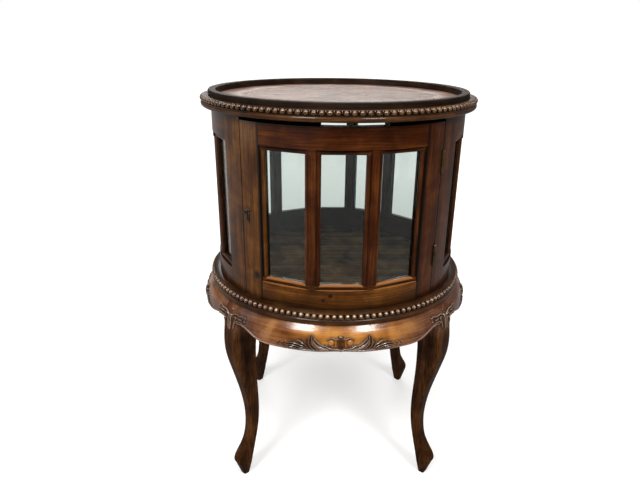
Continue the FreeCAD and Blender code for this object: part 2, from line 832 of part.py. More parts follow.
def apron(middle, half_span, rise):
    """One bombe rail between two legs, drawn at the front."""
    solid = swept(swelling_section(apron_inner_radius), -half_span, half_span)
    solid = solid.fuse([carved_boss(*boss) for boss in carved_bosses])
    for side in (-1, 1):
        solid = solid.cut(turned(leg_block_space(), side * half_span))
        under = leg_block_space()
        under.translate(FreeCAD.Vector(0, 0, leg_block_bottom - floor_underside))
        solid = solid.cut(turned(under, side * half_span))
    solid = solid.cut(scallop(half_span, rise))
    return turned(solid, middle)


def leg_section(height, outer, inner, width):
    """Rounded rectangle, level, at the front."""
    c = min(leg_corner, width / 4, (outer - inner) / 3)
    k = c * (1 - math.sqrt(0.5))
    x, a, b = width / 2, -outer, -inner

    def level(u, v):
        return FreeCAD.Vector(u, v, height)

    return outline(level, (-x + c, a), (x - c, a), ((x - k, a + k), (x, a + c)), (x, b - c),
                   ((x - k, b - k), (x - c, b)), (-x + c, b), ((-x + k, b - k), (-x, b - c)),
                   (-x, a + c), ((-x + k, a + k), (-x + c, a))).OuterWire


def leg(angle):
    sections = [leg_section(share * leg_block_bottom, body_radius + out, body_radius + back, width)
                for share, out, back, width in leg_curve]
    limb = Part.makeLoft(sections, True, False)
    tread = leg_section(0, body_radius + leg_tread[0], body_radius + leg_tread[1], leg_tread[2])
    limb = limb.fuse(Part.makeLoft([sections[-1], tread], True, True))
    reach = arc_degrees(leg_block_width)
    block = swept(swelling_section(leg_block_inner), -reach, reach).common(leg_block_space())
    solid = turned(limb.fuse(block), angle)
    for one in leg_screws():
        solid = solid.cut(one)
    return solid.removeSplitter()


def leg_screws():
    screws = []
    for angle in leg_angles.values():
        one = screw(leg_screw_radius, leg_screw_head, leg_screw_length)
        one.translate(place_at(body_radius - wall / 2, angle, floor_top))
        screws.append(one)
    return screws


def glue_blocks():
    """Blocks in the corner between each apron and the cabinet's floor."""
    blocks = []
    for middle, half_span in apron_places.values():
        for side in (-1, 1):
            angle = middle + side * half_span * glue_block_place
            blocks.append(arc_block(apron_inner_radius - glue_block_depth, apron_inner_radius,
                                    angle - glue_block_angle / 2, angle + glue_block_angle / 2,
                                    floor_underside - glue_block_height, floor_underside))
    return blocks


# ---------------------------------------------------------------- the nodes
save("top_board", top_board())
save("gallery_rim", gallery_rim())
save("top_moulding", top_moulding())

save("front_post_left", front_post_left())
save("front_post_right", front_post_right())
for name, side, lights in (("left", -1, left_lights), ("right", 1, right_lights)):
    save("side_top_rail_" + name, side_rail(side, sight_top, top_underside))
    save("side_bottom_rail_" + name, side_rail(side, floor_top, sight_bottom))
    save("side_mullions_" + name, [mullion(side * angle) for angle in mullion_angles[:-1]])
    save("back_post_" + name, mullion(side * back_post_angle))
    save("side_panes_" + name, [light.pane() for light in lights])
    save("side_glazing_beads_" + name, sum([light.glazing_beads() for light in lights], []))
save("back_top_rail", back_rail(sight_top, top_underside))
save("back_bottom_rail", back_rail(floor_top, sight_bottom))
save("back_muntins", [mullion(back_muntin_angle), mullion(-back_muntin_angle)])
save("back_panes", [light.pane() for light in back_lights])
save("back_glazing_beads", sum([light.glazing_beads() for light in back_lights], []))

save("door_lock_stile", door_lock_stile())
save("door_hinge_stile", door_hinge_stile())
save("door_top_rail", door_rail(sight_top, door_top))
save("door_bottom_rail", door_rail(door_bottom, sight_bottom))
save("door_muntins", door_muntins())
save("door_panes", [light.pane() for light in door_lights])
save("door_glazing_beads", sum([light.glazing_beads() for light in door_lights], []))

for name, height in hinge_heights.items():
    post_leaf = hinge_leaf(1, height)
    door_leaf = hinge_leaf(-1, height)
    for one in hinge_screws(1):
        post_leaf = post_leaf.cut(one)
    for one in hinge_screws(-1):
        door_leaf = door_leaf.cut(one)
    save(name + "_hinge_post_leaf", post_leaf)
    save(name + "_hinge_door_leaf", door_leaf)
    save(name + "_hinge_pin", hinge_pin(height))
save("strike_plate", strike_plate())
save("post_screws", hinge_screws(1) + strike_screws())
save("door_screws", hinge_screws(-1))
save("lock_case", lock_case())
save("lock_bolt", lock_bolt())
save("lock_key", lock_key())
save("keyhole_escutcheon", escutcheon())

save("cabinet_floor", cabinet_floor())
save("base_moulding", base_moulding())
for name, (middle, half_span) in apron_places.items():
    rise = scallop_rise if name in ("front", "back") else side_scallop_rise
    save("apron_" + name, apron(middle, half_span, rise))
for name, angle in leg_angles.items():
    save("leg_" + name, leg(angle))
save("leg_screws", leg_screws())
save("glue_blocks", glue_blocks())
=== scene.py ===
"""Round glazed display table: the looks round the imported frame, in metres, +Z up, door at -Y."""
import math
import random

import bmesh
import bpy
from mathutils import Matrix, Vector


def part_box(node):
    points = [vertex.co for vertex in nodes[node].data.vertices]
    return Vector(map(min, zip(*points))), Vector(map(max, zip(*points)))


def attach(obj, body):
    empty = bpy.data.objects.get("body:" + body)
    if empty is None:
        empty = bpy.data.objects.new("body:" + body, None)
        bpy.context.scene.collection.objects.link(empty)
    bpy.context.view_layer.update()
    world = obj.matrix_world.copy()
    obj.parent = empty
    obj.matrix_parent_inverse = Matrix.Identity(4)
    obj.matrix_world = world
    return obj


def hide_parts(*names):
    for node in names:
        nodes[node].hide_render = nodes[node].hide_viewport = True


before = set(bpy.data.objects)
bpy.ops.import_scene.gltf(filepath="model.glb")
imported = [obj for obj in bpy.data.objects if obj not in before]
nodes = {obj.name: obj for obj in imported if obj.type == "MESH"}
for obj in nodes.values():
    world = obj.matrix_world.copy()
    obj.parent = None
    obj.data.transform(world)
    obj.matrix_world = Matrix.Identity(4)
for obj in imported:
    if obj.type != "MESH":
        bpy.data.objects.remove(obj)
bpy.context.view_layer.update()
random.seed(11)

MM = 0.001

# ---------------------------------------------------------------- sizes, in metres
TOP_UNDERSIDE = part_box("top_board")[0].z
FIELD_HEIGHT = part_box("top_board")[1].z
DOOR_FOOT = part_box("door_bottom_rail")[0].z
PANE_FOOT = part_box("door_panes")[0].z
STILE_JOINT = 35.0                 # degrees from the middle of the door to its stiles
FLOOR_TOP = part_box("cabinet_floor")[1].z
FLOOR_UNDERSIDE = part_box("cabinet_floor")[0].z
BODY_RADIUS = -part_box("cabinet_floor")[0].y
BEAD_HALF_WIDTH = 5.2 * MM
BEAD_SEAT = 0.9 * MM               # how far a bead's middle lies inside the bead circle
TOP_BEAD_CIRCLE = 250.9 * MM
TOP_BEAD_RADIUS = 4.6 * MM
BASE_BEAD_CIRCLE = 249.6 * MM
BASE_BEAD_RADIUS = 4.9 * MM
LATHE_STEPS = 288


# ---------------------------------------------------------------- materials
HIGHLIGHT_MASK = "crown"                    # vertex number that marks where highlights are painted on beads and ribs


class Shade:
    """One node material. Every call adds a node and gives back its output."""

    def __init__(self, name):
        self.material = bpy.data.materials.new(name)
        self.material.use_nodes = True
        self.tree = self.material.node_tree
        self.tree.nodes.clear()
        self.shader = self.tree.nodes.new("ShaderNodeBsdfPrincipled")
        end = self.tree.nodes.new("ShaderNodeOutputMaterial")
        self.tree.links.new(self.shader.outputs["BSDF"], end.inputs["Surface"])

    def put(self, socket, value):
        if isinstance(value, bpy.types.NodeSocket):
            self.tree.links.new(value, socket)
        elif isinstance(value, tuple) and len(value) == 3 and len(socket.default_value) == 4:
            socket.default_value = (*value, 1.0)
        else:
            socket.default_value = value

    def surface(self, **values):
        for name, value in values.items():
            self.put(self.shader.inputs[name.replace("_", " ")], value)

    def place(self):
        return self.tree.nodes.new("ShaderNodeTexCoord").outputs["Object"]

    def crown(self):
        """1 where a highlight is painted on beads and ribs, 0 on their ground; written with each
        mesh.
        """
        node = self.tree.nodes.new("ShaderNodeAttribute")
        node.attribute_name = HIGHLIGHT_MASK
        return node.outputs["Fac"]

    def parts(self, vector):
        node = self.tree.nodes.new("ShaderNodeSeparateXYZ")
        self.put(node.inputs[0], vector)
        return node.outputs

    def vector(self, x, y, z):
        node = self.tree.nodes.new("ShaderNodeCombineXYZ")
        for socket, value in zip(node.inputs, (x, y, z)):
            self.put(socket, value)
        return node.outputs[0]

    def maths(self, operation, a, b=0.0):
        node = self.tree.nodes.new("ShaderNodeMath")
        node.operation = operation
        for socket, value in zip(node.inputs, (a, b)):
            self.put(socket, value)
        return node.outputs[0]

    def add(self, a, b):
        return self.maths("ADD", a, b)

    def times(self, a, b):
        return self.maths("MULTIPLY", a, b)

    def less(self, a, b):
        return self.maths("SUBTRACT", a, b)

    def length(self, a, b):
        return self.maths("SQRT", self.add(self.times(a, a), self.times(b, b)))

    def turn(self, x, y):
        """Angle round the cabinet from the middle of the door, positive to the right."""
        return self.maths("ARCTAN2", x, self.times(y, -1.0))

    def wobble(self, noise, size):
        """Noise round zero."""
        return self.times(self.less(noise, 0.5), size)

    def noise(self, vector, scale=1.0, detail=2.0, roughness=0.5, bend=0.0):
        node = self.tree.nodes.new("ShaderNodeTexNoise")
        self.put(node.inputs["Vector"], vector)
        self.put(node.inputs["Scale"], scale)
        self.put(node.inputs["Detail"], detail)
        self.put(node.inputs["Roughness"], roughness)
        self.put(node.inputs["Distortion"], bend)
        return node.outputs[0]

    def spread(self, value, low, high, to_low=0.0, to_high=1.0):
        node = self.tree.nodes.new("ShaderNodeMapRange")
        for socket, number in zip(node.inputs, (value, low, high, to_low, to_high)):
            self.put(socket, number)
        return node.outputs[0]

    def ramp(self, value, *stops):
        node = self.tree.nodes.new("ShaderNodeValToRGB")
        points = node.color_ramp.elements
        while len(points) < len(stops):
            points.new(0.5)
        for point, (at, colour) in zip(points, stops):
            point.position = at
            point.color = (*colour, 1.0)
        self.put(node.inputs[0], value)
        return node.outputs[0]

    def mix(self, share, a, b, kind="MIX"):
        node = self.tree.nodes.new("ShaderNodeMix")
        node.data_type = "RGBA"
        node.blend_type = kind
        self.put(node.inputs[0], share)
        self.put(node.inputs[6], a)
        self.put(node.inputs[7], b)
        return node.outputs[2]

    def facing(self):
        """The way a face is turned, in the object's own directions and not the camera's."""
        return self.tree.nodes.new("ShaderNodeNewGeometry").outputs["Normal"]

    def crevice(self, distance):
        """1 in the open, less where something nearer than the distance closes it in."""
        node = self.tree.nodes.new("ShaderNodeAmbientOcclusion")
        node.samples = 5
        node.inputs["Distance"].default_value = distance
        return node.outputs["AO"]

    def bump(self, height, strength, distance):
        node = self.tree.nodes.new("ShaderNodeBump")
        self.put(node.inputs["Strength"], strength)
        self.put(node.inputs["Distance"], distance)
        self.put(node.inputs["Height"], height)
        self.tree.links.new(node.outputs[0], self.shader.inputs["Normal"])


def grain_place(shade, grain):
    """(along, across, deep) the grain, in metres; around runs round the cabinet, and
    around_back has its seam at the front, where those pieces have no wood."""
    x, y, z = shade.parts(shade.place())
    if grain == "level":
        return x, y, z
    radius = shade.length(x, y)
    angle = shade.maths("ARCTAN2", x, y) if grain == "around_back" else shade.turn(x, y)
    run = shade.times(angle, BODY_RADIUS)
    if grain == "upright":
        return z, run, radius
    return run, z, radius


def knee_share(shade):
    """0 at the middle of each side of the table, 1 at the legs."""
    x, y = shade.parts(shade.place())[:2]
    turn = shade.maths("PINGPONG", shade.maths("ARCTAN2", x, y), math.pi / 4)
    return shade.spread(turn, math.radians(14), math.radians(36))


STOPS = (0.35, 0.5, 0.67)            # tones at which a palette's dark, mid and light stand
SEAM = (0.006, 0.004, 0.003)
KNOT = (0.006, 0.004, 0.0025)
JOINT_DIRT_AND_SHADE = (0.006, 0.003, 0.002)
DIRT_AND_SHADE_COLOUR = (0.008, 0.004, 0.002)   # colour of the dirt and painted shade in the crevices


def boards(s, colour, across, width):
    """Dark seams between boards, and a slightly different tone for each board."""
    shifted = s.add(across, width / 2)
    seam = s.spread(s.maths("PINGPONG", shifted, width / 2), 0.0004, 0.0012, 1.0, 0.0)
    colour = s.mix(s.times(seam, 0.7), colour, SEAM)
    board = s.maths("FLOOR", s.maths("DIVIDE", shifted, width))
    each = s.noise(s.vector(board, 0.5, 0.5), 3.7, 0.0)
    return s.mix(0.6, colour, s.mix(each, (0.55, 0.52, 0.5), (1.0, 1.0, 1.0)), "MULTIPLY")


def knot(s, colour, stains, angle, height, size):
    """Dark spot with an uneven outline at an angle and height of the cabinet's side."""
    x, y, z = s.parts(s.place())
    side = s.times(s.less(s.turn(x, y), math.radians(angle)), BODY_RADIUS)
    off = s.add(s.length(side, s.less(z, height)), s.wobble(stains, 0.8 * size))
    return s.mix(s.spread(off, 0.35 * size, size, 0.92, 0.0), colour, KNOT)


def wood(name, grain, dark, mid, light, gloss=0.34, coat=0.3, planks=0.0, mottle=1.0, crevice_dirt_and_shade=0.5,
         shine=0.25, polish=0.10, lines=0.5, depth=0.010, uneven=1.0, knees=None, above=None,
         worn=None, highlight_colour=None, highlight_strength=1.0, edge=None, knots=(), ledge=None):
    """Polished mahogany: bands, streaks, pores and a soft figure along the given grain.

    gloss is the wood's roughness, polish the coat's; planks is the width of floor boards;
    lines is the share of fine streaks, mottle the figure's and uneven its relief's; age is
    how much dirt and painted shade darken the crevices up to depth. knees is a second palette
    towards the legs, a darker one on the aprons as painted shade; above is (height, palette)
    for a leg's top; worn is (radius, radius) between which the polish is rubbed off a round
    board; highlight_colour is the colour of highlights painted on a carving's high spots; edge is
    the angle of a dark line of dirt and painted shade; knots are (angle, height, size) of
    dark spots; ledge is the colour painted on the faces turned up, as painted light from above.
    """
    s = Shade(name)
    along, across, deep = grain_place(s, grain)
    wander = s.noise(s.vector(s.times(along, 5.0), s.times(across, 9.0), s.times(deep, 9.0)))
    across_bent = s.add(across, s.times(wander, 0.012))

    def stretched(long_scale, cross_scale):
        return s.vector(s.times(along, long_scale), s.times(across_bent, cross_scale),
                        s.times(deep, cross_scale))

    def palette_colour(palette):
        return s.ramp(tone, *zip(STOPS, palette))

    bands = s.noise(stretched(3.0, 55.0), 1.0, 3.0, 0.55)
    streaks = s.noise(stretched(14.0, 520.0), 1.0, 3.0, 0.6)
    figure = s.noise(stretched(22.0, 16.0), 1.0, 3.0, 0.55, 0.5)
    pores = s.noise(stretched(110.0, 2100.0), 1.0, 1.0, 0.5)
    stains = s.noise(s.place(), 42.0, 5.0, 0.68)
    tone = s.add(s.times(bands, 1.0 - lines), s.times(streaks, lines))
    tone = s.add(tone, s.wobble(figure, 0.45 * mottle))
    colour = palette_colour((dark, mid, light))
    if knees:
        colour = s.mix(knee_share(s), colour, palette_colour(knees))
    if above:
        height, palette = above
        z = s.parts(s.place())[2]
        share = s.spread(z, height - 0.018, height + 0.012)
        colour = s.mix(share, colour, palette_colour(palette))
    colour = s.mix(s.times(s.spread(stains, 0.50, 0.68), 0.35), colour, dark)
    pits = s.spread(pores, 0.62, 0.74)
    colour = s.mix(s.times(pits, 0.45), colour, tuple(0.35 * v for v in dark))
    if planks:
        colour = boards(s, colour, across, planks)
    rubbed = 0.0
    if worn:
        x, y = s.parts(s.place())[:2]
        reach = s.add(s.length(x, y), s.wobble(s.noise(s.place(), 9.0, 4.0, 0.6), 0.06))
        rubbed = s.spread(reach, *worn)
        colour = s.mix(rubbed, colour, palette_colour(DUSK))
    # painted highlights: high spots that face up and out get a pale colour
    if highlight_colour:
        share = s.times(s.spread(s.crown(), 0.45, 1.0),
                        s.spread(figure, 0.40, 0.60, 0.35 * highlight_strength, 0.9 * highlight_strength))
        colour = s.mix(share, colour, highlight_colour)
    for angle, height, size in knots:
        colour = knot(s, colour, stains, angle, height, size)
    # a dark line along a stile's joint, partly dirt and partly painted shade
    if edge:
        off = s.maths("ABSOLUTE", s.less(across, math.radians(edge) * BODY_RADIUS))
        off = s.add(off, s.wobble(bands, 0.002))
        colour = s.mix(s.spread(off, 0.0024, 0.0052, 0.96, 0.0), colour, JOINT_DIRT_AND_SHADE)
    # painted shade: darker where something closes the surface in, partly dirt and old polish in the
    # crevices, partly shade
    near = s.spread(s.crevice(depth), 0.48, 0.98, 1.0, 0.0)
    colour = s.mix(s.times(near, crevice_dirt_and_shade), colour, DIRT_AND_SHADE_COLOUR)
    # painted light: faces turned up get a lighter, warmer colour, as if lit from above
    if ledge:
        up = s.parts(s.facing())[2]
        painted_top_light = s.mix(tone, tuple(0.5 * v for v in ledge), tuple(1.4 * v for v in ledge))
        colour = s.mix(s.spread(up, 0.15, 0.6, 0.0, 0.9), colour, painted_top_light)
    s.surface(Base_Color=colour, Metallic=0.0, IOR=1.45, Specular_IOR_Level=shine,
              Coat_Weight=coat, Coat_Roughness=polish, Coat_IOR=1.5)
    rough = s.spread(streaks, 0.3, 0.7, gloss - 0.04, gloss + 0.07)
    rough = s.add(rough, s.times(rubbed, 0.45))
    s.surface(Roughness=s.add(rough, s.times(pits, 0.18)))
    relief = s.less(s.times(streaks, 0.3), pits)
    s.bump(s.add(relief, s.times(figure, uneven)), 0.12, 0.0003)
    if uneven > 1.0:
        s.tree.links.new(s.shader.inputs["Normal"].links[0].from_socket,
                         s.shader.inputs["Coat Normal"])
    return s.material


def metal(name, bright, dull, shade_size, roughness):
    """Cast or rolled metal, handled bright on its faces and dark in its crevices."""
    s = Shade(name)
    place = s.place()
    patches = s.noise(place, 60.0, 4.0, 0.6)
    fine = s.noise(place, 900.0, 2.0)
    worn = s.spread(s.add(s.times(patches, 0.8), s.times(fine, 0.2)), 0.35, 0.65)
    colour = s.mix(worn, dull, bright)
    near = s.spread(s.crevice(shade_size), 0.3, 0.9, 1.0, 0.0)
    colour = s.mix(s.times(near, 0.75), colour, tuple(0.2 * v for v in dull))
    s.surface(Base_Color=colour, Metallic=1.0)
    s.surface(Roughness=s.spread(worn, 0.0, 1.0, roughness + 0.2, roughness))
    s.bump(fine, 0.1, 0.0002)
    return s.material


def clear_glass():
    """Old window glass: faint waves, dust, and a dark line where it sits in its rebate."""
    s = Shade("old_clear_glass")
    place = s.place()
    waves = s.noise(place, 14.0, 2.0)
    dust = s.noise(place, 320.0, 3.0)
    z = s.parts(place)[2]
    sill = s.spread(z, PANE_FOOT + 0.5 * MM, PANE_FOOT + 4.0 * MM, 1.0, 0.0)
    s.surface(Base_Color=s.mix(sill, (0.745, 0.79, 0.765), (0.05, 0.035, 0.02)))
    s.surface(Transmission_Weight=1.0, IOR=1.45)
    s.surface(Roughness=s.add(s.spread(dust, 0.5, 0.8, 0.0, 0.012), s.times(sill, 0.5)))
    s.bump(waves, 0.02, 0.002)
    return s.material


# palettes: dark, mid and light of the wood
RED = ((0.018, 0.0035, 0.0006), (0.048, 0.0105, 0.0010), (0.110, 0.032, 0.0042))
AMBER = ((0.026, 0.0070, 0.0006), (0.076, 0.0235, 0.0016), (0.170, 0.062, 0.0070))
GOLD = ((0.120, 0.034, 0.005), (0.270, 0.090, 0.013), (0.470, 0.195, 0.038))
DUSK = ((0.048, 0.017, 0.008), (0.115, 0.044, 0.020), (0.200, 0.092, 0.048))
BROWN = ((0.016, 0.0052, 0.0014), (0.050, 0.0175, 0.0045), (0.115, 0.046, 0.013))
SHANK = ((0.010, 0.0030, 0.0007), (0.036, 0.0115, 0.0022), (0.100, 0.036, 0.0075))
UMBER = ((0.006, 0.0030, 0.0014), (0.017, 0.0085, 0.0045), (0.042, 0.022, 0.012))
FIELD = ((0.070, 0.027, 0.013), (0.160, 0.079, 0.042), (0.270, 0.155, 0.092))
BEAD = ((0.032, 0.013, 0.005), (0.105, 0.046, 0.017), (0.210, 0.105, 0.044))
BEAD_ENDS = ((0.034, 0.013, 0.009), (0.105, 0.043, 0.028), (0.200, 0.100, 0.070))
CARVED = ((0.020, 0.009, 0.005), (0.072, 0.034, 0.020), (0.180, 0.100, 0.062))
ROSE = ((0.110, 0.048, 0.028), (0.230, 0.115, 0.072), (0.380, 0.210, 0.145))
OLD = ((0.075, 0.036, 0.012), (0.230, 0.120, 0.045), (0.420, 0.250, 0.100))

SATIN = {"coat": 0.4, "shine": 0.14, "crevice_dirt_and_shade": 0.9, "depth": 0.013}
# on the aprons the darker DUSK palette towards the legs is painted shade, where they turn away from
# the light
BOMBE = {"gloss": 0.24, "coat": 0.6, "polish": 0.13, "shine": 0.35, "mottle": 1.7, "crevice_dirt_and_shade": 0.8,
         "lines": 0.18, "uneven": 9.0, "knees": DUSK}
BEADED = {"gloss": 0.25, "coat": 1.0, "polish": 0.06}

rail_wood = wood("mahogany_around", "around", *RED, **SATIN)
# ledge paints the bottom rail's upward faces lighter and warmer: painted light from above
sill_wood = wood("mahogany_sill", "around", *AMBER, **SATIN, ledge=(0.300, 0.112, 0.030),
                 knots=((-4.4, DOOR_FOOT + 0.027, 0.0058), (-7.4, DOOR_FOOT + 0.018, 0.0044)))
# the back rails are near-black: painted shade for the cabinet's dark inside seen through the glass
back_rail_shade_wood = wood("mahogany_back_rails_painted_shade", "around_back", *UMBER, coat=0.1)
stile_wood = wood("mahogany_stile", "upright", *AMBER, **SATIN, edge=-STILE_JOINT,
                  knots=((-38.0, DOOR_FOOT + 0.045, 0.0120),))
upright_wood = wood("mahogany_upright", "upright", *RED, **SATIN, edge=STILE_JOINT)
apron_wood = wood("mahogany_apron", "around", *GOLD, **BOMBE)
back_apron_wood = wood("mahogany_apron_back", "around_back", *GOLD, **BOMBE)
leg_wood = wood("mahogany_leg", "upright", *SHANK, coat=0.04, gloss=0.42, shine=0.07, mottle=0.7,
                above=(0.350, DUSK))
top_wood = wood("mahogany_top", "level", *FIELD, gloss=0.24, coat=0.0, shine=0.40, mottle=1.3,
                worn=(0.180, 0.214))
rim_wood = wood("mahogany_rim", "around", *UMBER, gloss=0.55, coat=0.0, shine=0.12)
floor_wood = wood("mahogany_floor_boards", "level", *OLD, gloss=0.6, coat=0.0, planks=0.058,
                  shine=0.02, mottle=1.6)
ring_wood = wood("mahogany_mouldings", "around", *BROWN, crevice_dirt_and_shade=0.9, coat=0.2, shine=0.15)
# highlight_colour paints highlights on the beads', darts' and carving's high spots
top_bead_wood = wood("mahogany_top_beads", "around", *BEAD, **BEADED, crevice_dirt_and_shade=0.97, mottle=0.9,
                     depth=0.007, highlight_colour=(0.46, 0.33, 0.18), highlight_strength=0.3)
dart_wood = wood("mahogany_darts", "around", *BEAD, **BEADED, crevice_dirt_and_shade=0.6, mottle=0.4, depth=0.005,
                 highlight_colour=(0.62, 0.52, 0.40))
bead_wood = wood("mahogany_beads", "around", *BEAD, **BEADED, crevice_dirt_and_shade=0.97, mottle=0.6, depth=0.007,
                 knees=BEAD_ENDS, highlight_colour=(0.62, 0.46, 0.27))
carved_wood = wood("mahogany_carving", "around", *CARVED, gloss=0.28, coat=1.0, polish=0.08,
                   crevice_dirt_and_shade=0.97, mottle=0.6, depth=0.007, highlight_colour=(0.36, 0.235, 0.165))
# near-black wood for the shell's hollow: painted shade
shell_shade_wood = wood("mahogany_shell_painted_shade", "around", *UMBER, gloss=0.3, coat=0.4, crevice_dirt_and_shade=0.97,
                   depth=0.007)
hem_wood = wood("mahogany_hem", "around", *ROSE, gloss=0.28, coat=0.7, crevice_dirt_and_shade=0.9, mottle=0.6)
block_wood = wood("deal_blocks", "around", *OLD, gloss=0.6, coat=0.0)
brass = metal("handled_brass", (0.36, 0.28, 0.16), (0.09, 0.065, 0.035), 0.004, 0.34)
dark_brass = metal("tarnished_brass", (0.30, 0.27, 0.21), (0.030, 0.024, 0.017), 0.005, 0.26)
steel = metal("lock_iron", (0.40, 0.38, 0.36), (0.16, 0.15, 0.145), 0.004, 0.38)
glass = clear_glass()

FINISH_OF_NODE = {
    "lock_case": steel, "lock_bolt": steel, "leg_screws": steel, "lock_key": dark_brass,
    "keyhole_escutcheon": dark_brass, "strike_plate": brass, "apron_back": back_apron_wood,
    "top_board": top_wood, "cabinet_floor": floor_wood, "glue_blocks": block_wood,
    "gallery_rim": rim_wood, "top_moulding": ring_wood, "base_moulding": ring_wood,
    "back_top_rail": back_rail_shade_wood, "back_bottom_rail": back_rail_shade_wood,
    "door_lock_stile": stile_wood, "front_post_left": stile_wood, "door_bottom_rail": sill_wood,
}
FINISH_OF_WORD = {                 # the first word found in a node's name decides
    "panes": glass, "_screws": brass, "_leaf": brass, "_pin": brass, "leg_": leg_wood,
    "apron_": apron_wood, "post": upright_wood, "stile": upright_wood,
    "mullions": upright_wood, "muntins": upright_wood,
}


def finish_of(node):
    if node in FINISH_OF_NODE:
        return FINISH_OF_NODE[node]
    words = [word for word in FINISH_OF_WORD if word in node]
    return FINISH_OF_WORD[words[0]] if words else rail_wood


for name, made in nodes.items():
    made.data.materials.clear()
    made.data.materials.append(finish_of(name))


# ---------------------------------------------------------------- mesh helpers
def strip(bm, loops):
    """Skin of quads over a row of closed loops, with a face at each end."""
    for here, there in zip(loops, loops[1:]):
        for k in range(len(here)):
            j = (k + 1) % len(here)
            bm.faces.new((here[k], there[k], there[j], here[j]))
    bm.faces.new(loops[0])
    bm.faces.new(loops[-1][::-1])


def highlight_layer(bm):
    layers = bm.verts.layers.float
    return layers.get(HIGHLIGHT_MASK) or layers.new(HIGHLIGHT_MASK)


def piece(name, bm, material, sharp=40.0):
    """Closes a bmesh into an object that rides on the cabinet; sharp is in degrees."""
    bmesh.ops.remove_doubles(bm, verts=bm.verts, dist=1e-6)
    bmesh.ops.recalc_face_normals(bm, faces=bm.faces)
    mesh = bpy.data.meshes.new(name)
    bm.to_mesh(mesh)
    bm.free()
    mesh.polygons.foreach_set("use_smooth", [True] * len(mesh.polygons))
    mesh.set_sharp_from_angle(angle=math.radians(sharp))
    mesh.materials.append(material)
    made = bpy.data.objects.new(name, mesh)
    bpy.context.scene.collection.objects.link(made)
    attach(made, "cabinet")
    return made


def round_place(radius, angle, height):
    """Point at an angle from the front, positive to the viewer's right."""
    return Vector((radius * math.sin(angle), -radius * math.cos(angle), height))


def lathe(bm, profile):
    """Closed ring of revolution from (radius, height) points."""
    rings = []
    for n in range(LATHE_STEPS):
        angle = 2 * math.pi * n / LATHE_STEPS
        rings.append([bm.verts.new(round_place(r, angle, z)) for r, z in profile])
    for n in range(LATHE_STEPS):
        here, there = rings[n], rings[(n + 1) % LATHE_STEPS]
        for k in range(len(profile)):
            j = (k + 1) % len(profile)
            bm.faces.new((here[k], there[k], there[j], here[j]))


def arc_points(start, through, end, count):
    """Points of the circle through three points, without the first."""
    (ax, ay), (bx, by), (cx, cy) = start, through, end
    d = 2 * (ax * (by - cy) + bx * (cy - ay) + cx * (ay - by))
    ux = ((ax * ax + ay * ay) * (by - cy) + (bx * bx + by * by) * (cy - ay)
          + (cx * cx + cy * cy) * (ay - by)) / d
    uy = ((ax * ax + ay * ay) * (cx - bx) + (bx * bx + by * by) * (ax - cx)
          + (cx * cx + cy * cy) * (bx - ax)) / d
    radius = math.hypot(ax - ux, ay - uy)
    first = math.atan2(ay - uy, ax - ux)
    middle = (math.atan2(by - uy, bx - ux) - first) % (2 * math.pi)
    last = (math.atan2(cy - uy, cx - ux) - first) % (2 * math.pi)
    turn = last if middle < last else last - 2 * math.pi
    return [(ux + radius * math.cos(first + turn * n / count),
             uy + radius * math.sin(first + turn * n / count)) for n in range(1, count + 1)]


def dome(bm, centre, out, up, half_across, half_up, proud, rings=5, steps=12):
    """Half bead on a surface; out is the surface's normal. Its skirt goes a little inside."""
    high = highlight_layer(bm)
    # painted highlight: the mask is 1 where the bead faces up and out
    highlight_way = (out + up * 0.85).normalized()
    across = up.cross(out).normalized()
    rows = []
    for k in range(rings):
        lean = 0.5 * math.pi * (k / rings) - 0.35 * (1 - k / rings)
        row = []
        for n in range(steps):
            angle = 2 * math.pi * n / steps
            flat = across * (half_across * math.cos(angle)) + up * (half_up * math.sin(angle))
            vert = bm.verts.new(centre + flat * math.cos(lean) + out * (proud * math.sin(lean)))
            facing = across * (math.cos(angle) * math.cos(lean)) + out * math.sin(lean)
            facing += up * (math.sin(angle) * math.cos(lean))
            vert[high] = max(0.0, facing.dot(highlight_way)) ** 4
            row.append(vert)
        rows.append(row)
    crown = bm.verts.new(centre + out * proud)
    crown[high] = max(0.0, out.dot(highlight_way)) ** 4
    for here, there in zip(rows, rows[1:]):
        for n in range(steps):
            m = (n + 1) % steps
            bm.faces.new((here[n], here[m], there[m], there[n]))
    for n in range(steps):
        bm.faces.new((rows[-1][n], rows[-1][(n + 1) % steps], crown))
    bm.faces.new(rows[0][::-1])


# ---------------------------------------------------------------- beaded mouldings
def top_ring():
    """Moulding under the rim, with a cove for its beads; gives the height of their middle."""
    seat, rim_seat = 238.0 * MM, 240.0 * MM
    ledge = FIELD_HEIGHT + 2.6 * MM
    edge = TOP_BEAD_CIRCLE
    groove = 2.4 * MM
    mid = ledge - TOP_BEAD_RADIUS
    foot = mid - TOP_BEAD_RADIUS
    band_top = (edge + 1.7 * MM, TOP_UNDERSIDE + 8.2 * MM)
    band_mid = (edge + 2.9 * MM, TOP_UNDERSIDE + 4.3 * MM)
    band_foot = (edge - 1.2 * MM, TOP_UNDERSIDE)
    profile = [(seat, TOP_UNDERSIDE), band_foot]
    profile += arc_points(band_foot, band_mid, band_top, 8)
    profile += [(edge + 2.5 * MM, foot + 0.4 * MM), (edge + 0.9 * MM, foot + 0.6 * MM)]
    cove_top = (edge + 0.4 * MM, ledge - 0.7 * MM)
    profile += arc_points(profile[-1], (edge - groove, mid), cove_top, 6)
    profile += [(edge - 0.4 * MM, ledge), (rim_seat, ledge),
                (rim_seat, FIELD_HEIGHT - 3.0 * MM), (seat, FIELD_HEIGHT - 3.0 * MM)]
    bm = bmesh.new()
    lathe(bm, profile)
    ring = piece("top_ring", bm, ring_wood)
    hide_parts("top_moulding")
    return mid


